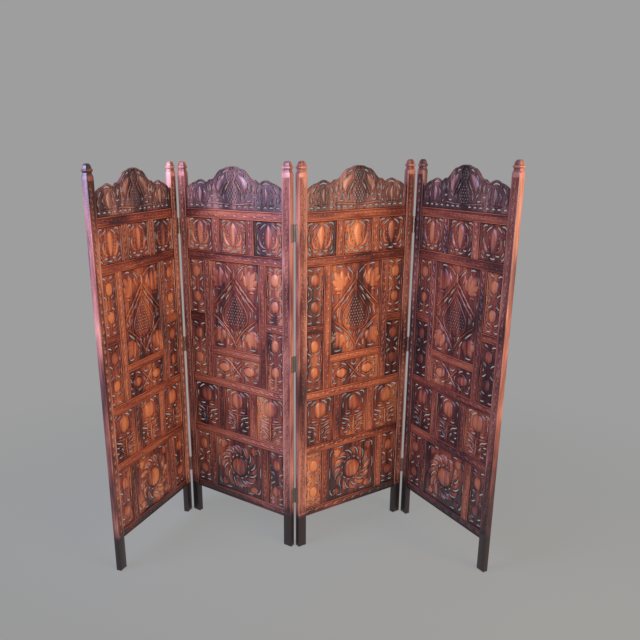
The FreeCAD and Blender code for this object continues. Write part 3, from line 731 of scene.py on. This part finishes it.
# %% The crest
def crest_board():
    """The carved crest of a leaf."""
    openings = slits(
        SLIT, (4, (-27, 143), (-38, 140), (-48, 133)), (4, (-57, 126), (-66, 117), (-72, 106)),
        (4, (-77, 97), (-80, 86), (-78, 74)), (4, (-76, 64), (-70, 54), (-62, 46)),
        (4, (-21, 98), (-31, 84), (-39, 70)), (4, (-44, 60), (-47, 48), (-42, 36)),
        (4, (-98, 92), (-101, 80), (-98, 68)), (4, (-96, 56), (-104, 50), (-116, 52)),
        (4, (-90, 38), (-80, 34), (-68, 36)), (4, (-122, 62), (-124, 75), (-131, 86)),
        (4, (-144, 94), (-164, 99), (-184, 93)), (4, (-196, 86), (-207, 76), (-213, 62)),
        (4, (-216, 50), (-217, 40), (-213, 30)), (3, (-120, 40), (-121, 32), (-129, 26)),
        *((4, (x - 10, 12), (x, 14), (x + 10, 11)) for x in CREST_DASHES),
    )
    for rows, pitch, radius in ((CREST_SMALL_ROWS, 11, 2.8), (CREST_LARGE_ROWS, 13, 3.1)):
        openings += [hole(x, up, radius, 6) for count, y in rows for x, up in drilled_row(count, pitch, y)]
    openings += [hole(x, y, 3, 6) for x in (-182, -148, 148, 182) for y in (32, 64)]
    board = pierced(crest_outline(), openings)
    carve_pairs(
        board, (5, 4.2, VINE, 5, (4, 153), (20, 134), (19, 114), (12, 100), (26, 78), (37, 58)),
        (5, 4.2, VINE, 5, (22, 108), (37, 88), (49, 68), (55, 52)),
        (30, 4.6, PETAL, 5, (66, 68), (64, 92), (36, 128)), (20, 4.2, PETAL, 5, (165, 24), (166, 52), (165, 84)),
        (9, 3.2, LEAF, 4, (139, 40), (137, 62), (148, 82)), (9, 3.2, LEAF, 4, (193, 36), (196, 56), (184, 80)),
        (8, 4.0, VINE, 5, (4, 20), (46, 22), (92, 26), (112, 22)), (8, 3.4, LEAF, 4, (88, 62), (89, 84), (92, 104)),
        (10, 3.4, LEAF, 4, (110, 62), (109, 80), (113, 98)), (7, 3.4, LEAF, 5, (140, 24), (165, 20), (206, 24)),
        (8, 3.2, LEAF, 4, (226, 30), (228, 46), (224, 64)),
    )
    for line in both_sides(beside(curve(*CREST_EDGE, steps=2), -3.5)):
        carve(board, line, 5, 3.0, BAND, across=2)
    return board


# %% [markdown]
# ## All the jali on a leaf
# Each board is stood up in its opening and joined to the others as one carved part.

# %% Set the boards in the leaf
def set_in(board, middle, low, height):
    """Stand a board up among the others, with its middle and its low edge in place."""
    add_to(jali, stand(board, middle, low, height))


jali = bmesh.new()
for middle in (-THIRD_PITCH, 0, THIRD_PITCH):
    set_in(upper_jali(THIRD_WIDTH, UPPER_HIGH), middle, UPPER_Z, UPPER_HIGH)
    set_in(lower_jali(THIRD_WIDTH, LOWER_HIGH), middle, LOWER_Z, LOWER_HIGH)
for middle in (-SIDE_PITCH / 2, SIDE_PITCH / 2):
    set_in(side_jali(SIDE_WIDTH, SIDE_LOWER_HIGH, 64, 12, -42), middle, MIDDLE_Z, SIDE_LOWER_HIGH)
    set_in(side_jali(SIDE_WIDTH, SIDE_UPPER_HIGH, 60, 9, -42), middle, SIDE_UPPER_Z, SIDE_UPPER_HIGH)
    set_in(side_jali(SIDE_WIDTH, BASE_HIGH, 60, 0, -56), middle, BASE_Z, BASE_HIGH)
set_in(grape_panel(WIDE_WIDTH, GRAPE_HIGH), 0, GRAPE_Z, GRAPE_HIGH)
set_in(frieze_jali(WIDE_WIDTH, FRIEZE_HIGH), 0, MIDDLE_Z, FRIEZE_HIGH)
set_in(wreath(WIDE_WIDTH, BASE_HIGH), 0, BASE_Z, BASE_HIGH)
jali_nodes = ["upper_jalis", "lower_jalis", "side_jalis", "base_jalis", "grape_panel", "frieze_jali"]
dress("carved_boards", jali, jali_nodes, jali_wood)
dress("carved_crest", stand(crest_board(), 0, CREST_Z, 0), ["crest"], crest_wood)

# %% [markdown]
# ## Rails and muntins
# The bars are moulded: a section is drawn across the bar and drawn out along it. Rails and muntins alike have
# a sunk field between two beads, with a running leaf carved in it.

# %% Moulded bars
# The front is drawn from the edge inwards: how far in, and how deep. Wear and painted highlight count from 1.3 times
# the field's depth.
CHAMFER, BAR_SUNK = 1.5, 1.6
BAR_FRONT = ((3, 0), (4, 1.1), (5, 0), (6.5, BAR_SUNK))
BAR_RISE, GROUND_DEPTH = 1.3, 1.3


def moulded(width, length):
    """A bar along y with a moulded front, its section mirrored about its middle."""
    half, depth = width / 2, RAIL_THICK / 2
    side = [(-half, -depth), (-half, depth - CHAMFER), (-half + CHAMFER, depth)]
    side += [(-half + inset, depth - sunk) for inset, sunk in BAR_FRONT]
    section = side + [(-x, z) for x, z in reversed(side)]
    bar = bmesh.new()
    verts = [bar.verts.new((x, -length / 2, z)) for x, z in section]
    edges = [bar.edges.new(pair) for pair in zip(verts, verts[1:] + verts[:1])]
    face = bmesh.ops.edgeloop_fill(bar, edges=edges)["faces"]
    end = bmesh.ops.extrude_face_region(bar, geom=face)["geom"]
    bmesh.ops.translate(bar, verts=only(BMVert, end), vec=(0, length, 0))
    return bar


def carved_bar(length, width, leaf_pitch):
    """A bar along y with leaves that run along a wavy stem between two beads."""
    bar = moulded(width, length)
    plain = len(bar.verts)
    count = round(length / leaf_pitch)
    pitch = length / count
    sway = (width - 2 * BAR_FRONT[-1][0]) / 4
    for n in range(count):
        start, way = -length / 2 + pitch * n, 1 if n % 2 else -1
        stem = curve((way * -sway, start), (way * sway * 0.2, start + pitch / 2), (way * sway, start + pitch), steps=2)
        carve(bar, stem, 4, BAR_RISE, BAND, across=2)
        for turned, leaf_width in ((-1, 9), (0.45, 6)):
            leaf = curve((way * turned, start + pitch * 0.2), (way * turned * sway, start + pitch * 0.5),
                         (way * turned * sway * 1.15, start + pitch * 0.95), steps=2)
            carve(bar, leaf, leaf_width, BAR_RISE, across=2)
    bmesh.ops.translate(bar, verts=list(bar.verts)[plain:], vec=(0, 0, RAIL_THICK / 2 - BAR_SUNK))
    return bar


def upright(bar, middle, low, height, lengthways=False):
    """Stand a bar up in the leaf, with its middle and its foot in place."""
    bar.transform(Matrix.Translation((middle, 0, low + height / 2)) @ TURN_UP)
    as_timber(bar, RAIL_THICK / 2, GROUND_DEPTH * BAR_SUNK, lengthways)
    return bar


# %% Build the frame of a leaf
OVERLAP = 1
RAIL_LEAF_PITCH, MUNTIN_LEAF_PITCH = 24, 22
RAILS = [(0, low, CLEAR_WIDTH, RAIL_HEIGHT) for low in RAIL_FOOTS]
RAILS.append((0, SILL_Z, WIDE_WIDTH, SMALL_RAIL_HEIGHT))
RAILS += [(side * SIDE_PITCH / 2, SIDE_CROSS_Z, SIDE_WIDTH, SMALL_RAIL_HEIGHT) for side in (-1, 1)]
MUNTINS = (
    (THIRD_PITCH, UPPER_Z, UPPER_HIGH), (THIRD_PITCH, LOWER_Z, LOWER_HIGH),
    (LONG_PITCH, MIDDLE_Z, MIDDLE_HIGH), (LONG_PITCH, BASE_Z, BASE_HIGH),
)

rails, muntins = bmesh.new(), bmesh.new()
for middle, low, length, height in RAILS:
    bar = carved_bar(length + OVERLAP, height, RAIL_LEAF_PITCH)
    bar.transform(Matrix.Rotation(-math.pi / 2, 4, "Z"))
    add_to(rails, upright(bar, middle, low, height, lengthways=True))
dress("carved_rails", rails, ["rails", "small_rails"], frame_wood)

for side in (-1, 1):
    for pitch, low, height in MUNTINS:
        bar = carved_bar(height + OVERLAP, MUNTIN_WIDTH, MUNTIN_LEAF_PITCH)
        add_to(muntins, upright(bar, side * pitch / 2, low, height))
dress("moulded_muntins", muntins, ["muntins"], frame_wood)

# %% [markdown]
# ## Posts
# A post is one long stick. Its front has a sunk band, from above the leg to below the knob, and a vine climbs
# in the band. The knob at the top is cut from the same stick, so it keeps the post's flat shape: a waist, a
# full round and a small top. The outer edge is planed by a hair, so that the hinge plates show in it.

# %% The posts
BAND_LOW, BAND_HIGH, BAND_EDGE, BAND_SUNK = 150, 1470, 7, 1.8
LEG_FADE, PLATE_SHOWS, FOOT_CHAMFER = 8, 0.3, 4
KNOB = (
    (1485, 0.93), (1489, 0.82), (1493, 0.76), (1497, 0.8), (1500, 0.97), (1501.5, 1), (1504, 1), (1505.5, 0.95),
    (1507, 0.8), (1509, 0.76), (1513, 0.74), (1517, 0.67), (1520.5, 0.56), (1523, 0.42), (TIP_Z, 0.3),
)
VINE_PITCH, VINE_SWAY, VINE_SHORT = 18, 2.8, 16


def cut_across(post, height):
    """Give a post a ring of vertices at this height."""
    geom = list(post.verts) + list(post.edges) + list(post.faces)
    bmesh.ops.bisect_plane(post, geom=geom, plane_co=(0, 0, height), plane_no=(0, 0, 1))


def post():
    """One post with its sunk band, foot and knob."""
    stick = bmesh.new()
    size = Matrix.Diagonal((POST_FACE, POST_THICK, SHOULDER_Z, 1))
    bmesh.ops.create_cube(stick, size=1, matrix=Matrix.Translation((0, 0, SHOULDER_Z / 2)) @ size)
    for height in (LEG_Z - LEG_FADE, BAND_LOW, BAND_HIGH):
        cut_across(stick, height)
    long_edges = [edge for edge in stick.edges if abs(edge.verts[0].co.z - edge.verts[1].co.z) > 1]
    bmesh.ops.bevel(stick, geom=long_edges, offset=CHAMFER, segments=2, affect="EDGES", profile=0.5, material=-1)
    stick.normal_update()
    band = [face for face in stick.faces
            if face.normal.y < -0.99 and BAND_LOW < face.calc_center_median().z < BAND_HIGH]
    bmesh.ops.inset_region(stick, faces=band, thickness=BAND_EDGE - CHAMFER, depth=-BAND_SUNK)
    foot = [edge for edge in stick.edges if all(vert.co.z < 0.1 for vert in edge.verts)]
    bmesh.ops.bevel(stick, geom=foot, offset=FOOT_CHAMFER, segments=1, affect="EDGES", profile=0.5, material=-1)
    top = [face for face in stick.faces if face.calc_center_median().z > SHOULDER_Z - 0.1]
    low, before = SHOULDER_Z, 1.0
    for height, share in KNOB:
        geom = bmesh.ops.extrude_face_region(stick, geom=top)["geom"]
        bmesh.ops.delete(stick, geom=top, context="FACES")
        top, verts = only(BMFace, geom), only(BMVert, geom)
        bmesh.ops.translate(stick, verts=verts, vec=(0, 0, height - low))
        bmesh.ops.scale(stick, verts=verts, vec=(share / before, share / before, 1))
        low, before = height, share
    # A ring of vertices where the painted shade above the legs ends.
    cut_across(stick, LEG_Z + FOOT_SHADE_HIGH)
    return stick


def climbing_vine():
    """A wavy stem with a leaf in each bend, drawn lying down along y."""
    vine = bmesh.new()
    count = int((BAND_HIGH - BAND_LOW - VINE_SHORT) / VINE_PITCH)
    foot = -count * VINE_PITCH / 2
    bends = [((VINE_SWAY if n % 2 else -VINE_SWAY), foot + VINE_PITCH * n) for n in range(count + 1)]
    carve(vine, curve(*bends, steps=3), 3.8, 1.8, BAND, across=2)
    for n, (_, low) in enumerate(bends[:-1]):
        way = -1 if n % 2 else 1
        carve(vine, curve((way * -1.5, low - 5), (way * 4, low + 1), (way * 7, low + 10), steps=2), 7.5, 1.9, across=2)
    vine.transform(Matrix.Translation((0, -POST_THICK / 2 + BAND_SUNK, (BAND_LOW + BAND_HIGH) / 2)) @ TURN_UP)
    return vine


posts = bmesh.new()
for side in (-1, 1):
    stick = post()
    add_to(stick, climbing_vine())
    as_timber(stick, POST_THICK / 2, GROUND_DEPTH * BAND_SUNK)
    bmesh.ops.scale(stick, verts=list(stick.verts), vec=(1 - PLATE_SHOWS / POST_FACE, 1, 1))
    stick.transform(Matrix.Translation((side * (LEAF_WIDTH - POST_FACE - PLATE_SHOWS) / 2, 0, 0)))
    add_to(posts, stick)
dress("carved_posts", posts, ["left_post", "right_post"], post_wood)

# %% [markdown]
# ## Hinges
# The hinges are dull steel, folded round their pins. They keep the shape of the solids and only get a finish.

# %% The steel
# The tarnish lies in clouds about 4 mm wide.
STEEL_MM = 4


def steel(name, bright, dull):
    """Plain rolled steel with a little tarnish."""
    metal = new_material(name)
    place = add_node(metal, "TexCoord").outputs["Object"]
    tarnish = add_node(metal, "TexNoise", Vector=place, Scale=1 / (STEEL_MM * MM), Detail=3.0)
    blend = add_node(metal, "Mix", {"data_type": "RGBA"}, Factor=tarnish, _6=colour(bright), _7=colour(dull))
    rough = add_node(metal, "MapRange", Value=tarnish, To_Min=0.32, To_Max=0.55)
    shader = add_node(metal, "BsdfPrincipled", Base_Color=blend.outputs[2], Metallic=0.9, Roughness=rough)
    add_node(metal, "OutputMaterial", Surface=shader)
    return metal


# Bare, handled steel gives small grey glints in the dark between the leaves.
hinge_steel = steel("steel_dull", "#beb6ae", "#8e847c")
for number in LEAVES:
    node = bpy.data.objects[f"leaf_{number}_hinges"]
    node.data.materials.clear()
    node.data.materials.append(hinge_steel)

# %% [markdown]
# Three slotted screws hold each plate to the edge of its post. A plate runs in from the post's back or front,
# whichever its pin stands at, and its screws are in a slight zigzag, as in any butt hinge. For each leaf the
# edges that have plates are written with the side of the leaf and the side of the pins, front being -1. The
# slots are left turned every way.

# %% The hinge screws
HINGE_HEIGHTS, SCREW_STEPS = (229, 783, 1275), (-1, 0, 1)
SCREW_PITCH, PLATE_MIDDLE, ZIGZAG, SLOT_TURN = 21.42, 2.6, 1.6, 0.7
SCREW_RADIUS, SCREW_RISE, SCREW_TAPER, SLOT_HALF, SLOT_DEEP = 2.7, 0.35, 0.4, 0.4, 0.25
HINGE_EDGES = {1: ((1, -1),), 2: ((-1, -1), (1, 1)), 3: ((-1, 1), (1, -1)), 4: ((-1, -1),)}


def top_faces(head):
    """The faces of a screw's flat top."""
    return [face for face in head.faces if face.calc_center_median().z > SCREW_RISE - 0.01]


def screw_head():
    """A low head with a slot, its back on the plane z = 0."""
    head = bmesh.new()
    bmesh.ops.create_cone(
        head, cap_ends=True, segments=12, radius1=SCREW_RADIUS, radius2=SCREW_RADIUS - SCREW_TAPER, depth=SCREW_RISE,
        matrix=Matrix.Translation((0, 0, SCREW_RISE / 2)),
    )
    for side in (-1, 1):
        top = top_faces(head)
        edges = list({edge for face in top for edge in face.edges})
        geom = list({vert for face in top for vert in face.verts}) + edges + top
        bmesh.ops.bisect_plane(head, geom=geom, plane_co=(side * SLOT_HALF, 0, 0), plane_no=(1, 0, 0))
    slot = [face for face in top_faces(head) if abs(face.calc_center_median().x) < SLOT_HALF]
    bmesh.ops.inset_region(head, faces=slot, thickness=0.1, depth=-SLOT_DEEP)
    return head


for number, edges in HINGE_EDGES.items():
    screws = bmesh.new()
    for side, face in edges:
        for height in HINGE_HEIGHTS:
            for step in SCREW_STEPS:
                head = screw_head()
                turn = Matrix.Rotation(side * math.pi / 2, 4, "Y") @ Matrix.Rotation(SLOT_TURN * height + step, 4, "Z")
                zigzag = face * (PLATE_MIDDLE + (ZIGZAG if step else -ZIGZAG))
                spot = (side * LEAF_WIDTH / 2, zigzag, height + step * SCREW_PITCH)
                head.transform(Matrix.Translation(spot) @ turn)
                add_to(screws, head)
    mesh = as_mesh("hinge_screws", screws)
    mesh.transform(places[number])
    mesh.materials.append(hinge_steel)
    piece = put(f"leaf_{number}_hinge_screws", mesh)
    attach(piece, f"leaf_{number}")
    print(f"leaf {number}: {len(edges) * len(HINGE_HEIGHTS) * len(SCREW_STEPS)} screws")

# %% [markdown]
# ## The studio
# The light comes from two large soft lamps: a warm one from the right, which the first and third leaves face,
# and a cool one from the left, which the second and fourth leaves face. The cool one has a narrow spread and is
# turned to the second leaf, so the fourth is darker. The camera sees the floor, the wall and whatever lies
# beyond them as one plain grey.

# %% Floor and wall
# The floor's paper is a little green, because the two lamps together are a little pink. Its shadow fades out
# between 0.9 and 2.4 metres from the middle of the screen.
SEEN_GREY, WALL_PAPER, FLOOR_PAPER = "#9e9e9e", "#b8b8b8", "#b2c4ba"
SHADOW_NEAR, SHADOW_FAR = 0.9, 2.4


def seen_rays(owner):
    """1 for what is seen straight, mirrored or through something, and 0 for what only lights."""
    rays = add_node(owner, "LightPath").outputs
    seen = rays["Is Camera Ray"]
    for kind in ("Is Glossy Ray", "Is Transmission Ray"):
        seen = add_node(owner, "Math", {"operation": "MAXIMUM"}, _0=seen, _1=rays[kind])
    return seen


def paper(name, seen, lit, least):
    """Plain paper: it shows one colour when seen, but takes a soft shadow near the screen."""
    backdrop = new_material(name)
    place = add_node(backdrop, "TexCoord").outputs["Object"]
    away = add_node(backdrop, "VectorMath", {"operation": "LENGTH"}, _0=place).outputs["Value"]
    even = add_node(backdrop, "MapRange", Value=away, From_Min=SHADOW_NEAR, From_Max=SHADOW_FAR, To_Min=least)
    share = add_node(backdrop, "Math", {"operation": "MULTIPLY"}, _0=seen_rays(backdrop), _1=even)
    plain = add_node(backdrop, "Emission", Color=colour(seen), Strength=1.0)
    soft = add_node(backdrop, "BsdfDiffuse", Color=colour(lit))
    shown = add_node(backdrop, "MixShader", _0=share, _1=soft, _2=plain)
    add_node(backdrop, "OutputMaterial", Surface=shown)
    return backdrop


def sheet(name, size, place, turn, material):
    """A flat sheet of paper."""
    shape = bmesh.new()
    lie = Matrix.Translation(place) @ Matrix.Rotation(turn, 4, "X")
    bmesh.ops.create_grid(shape, x_segments=1, y_segments=1, size=size / 2, matrix=lie)
    thing = put(name, as_mesh(name, shape))
    thing.data.materials.append(material)


# The floor is one quiet grey with the faint cool shadow of the screen, and the wall is the same grey without it.
floor_paper = paper("paper_floor_grey", SEEN_GREY, FLOOR_PAPER, 0.8)
wall_paper = paper("paper_wall_grey", SEEN_GREY, WALL_PAPER, 1.0)
sheet("paper_floor", 14, (0, 2, 0), 0, floor_paper)
sheet("paper_wall", 14, (0, 5, 3), math.pi / 2, wall_paper)
print("floor and wall: two sheets of paper, 14 metres square")

# %% Lamps
def lamp(name, place, target, size, power, code, spread=180):
    """A square soft lamp that points at a place."""
    light = bpy.data.lights.new(name, "AREA")
    light.size, light.energy, light.color, light.spread = size, power, colour(code)[:3], math.radians(spread)
    thing = put(name, light)
    way = Vector(target) - Vector(place)
    thing.matrix_world = Matrix.Translation(place) @ way.to_track_quat("-Z", "Y").to_matrix().to_4x4()
    print(f"{name}: {power} watts from {way.length:.1f} metres away")


lamp("warm_lamp", (1.9, -2.0, 1.5), (-0.05, 0, 0.9), 1.8, 74, "#ffd2ac")
lamp("cool_lamp", (-1.5, -0.85, 1.85), (-0.75, 0.1, 1.35), 1.2, 24, "#d0ccff", 110)
world = bpy.data.worlds.new("room_light")
world.use_nodes = True
world.node_tree.nodes.clear()
room = add_node(world, "Background", Color=colour("#b4b6cc"), Strength=0.35)
beyond = add_node(world, "Background", Color=colour(SEEN_GREY), Strength=1.0)
around = add_node(world, "MixShader", _0=seen_rays(world), _1=room, _2=beyond)
add_node(world, "OutputWorld", Surface=around)
bpy.context.scene.world = world
bpy.context.scene.view_settings.view_transform = "Standard"

# %% [markdown]
# ## The camera
# The camera stands a little over two and a half metres in front, at the height of the knobs, and looks down
# by 18 degrees. The picture lies off the middle of the lens, so the lens is shifted.

# %% Camera
CAMERA_PLACE = Vector((-32.2, -2671.1, 1549.3)) * MM
YAW, PITCH, ROLL = 1.30, -18.10, -0.53
view = bpy.data.cameras.new("camera")
view.sensor_width, view.lens = 36, 39.96
view.shift_x, view.shift_y = 0.0672, 0.1026
camera = put("camera", view)
turn = Matrix.Rotation(math.radians(YAW), 4, "Z") @ Matrix.Rotation(math.radians(90 + PITCH), 4, "X")
camera.matrix_world = Matrix.Translation(CAMERA_PLACE) @ turn @ Matrix.Rotation(math.radians(ROLL), 4, "Z")
bpy.context.scene.camera = camera
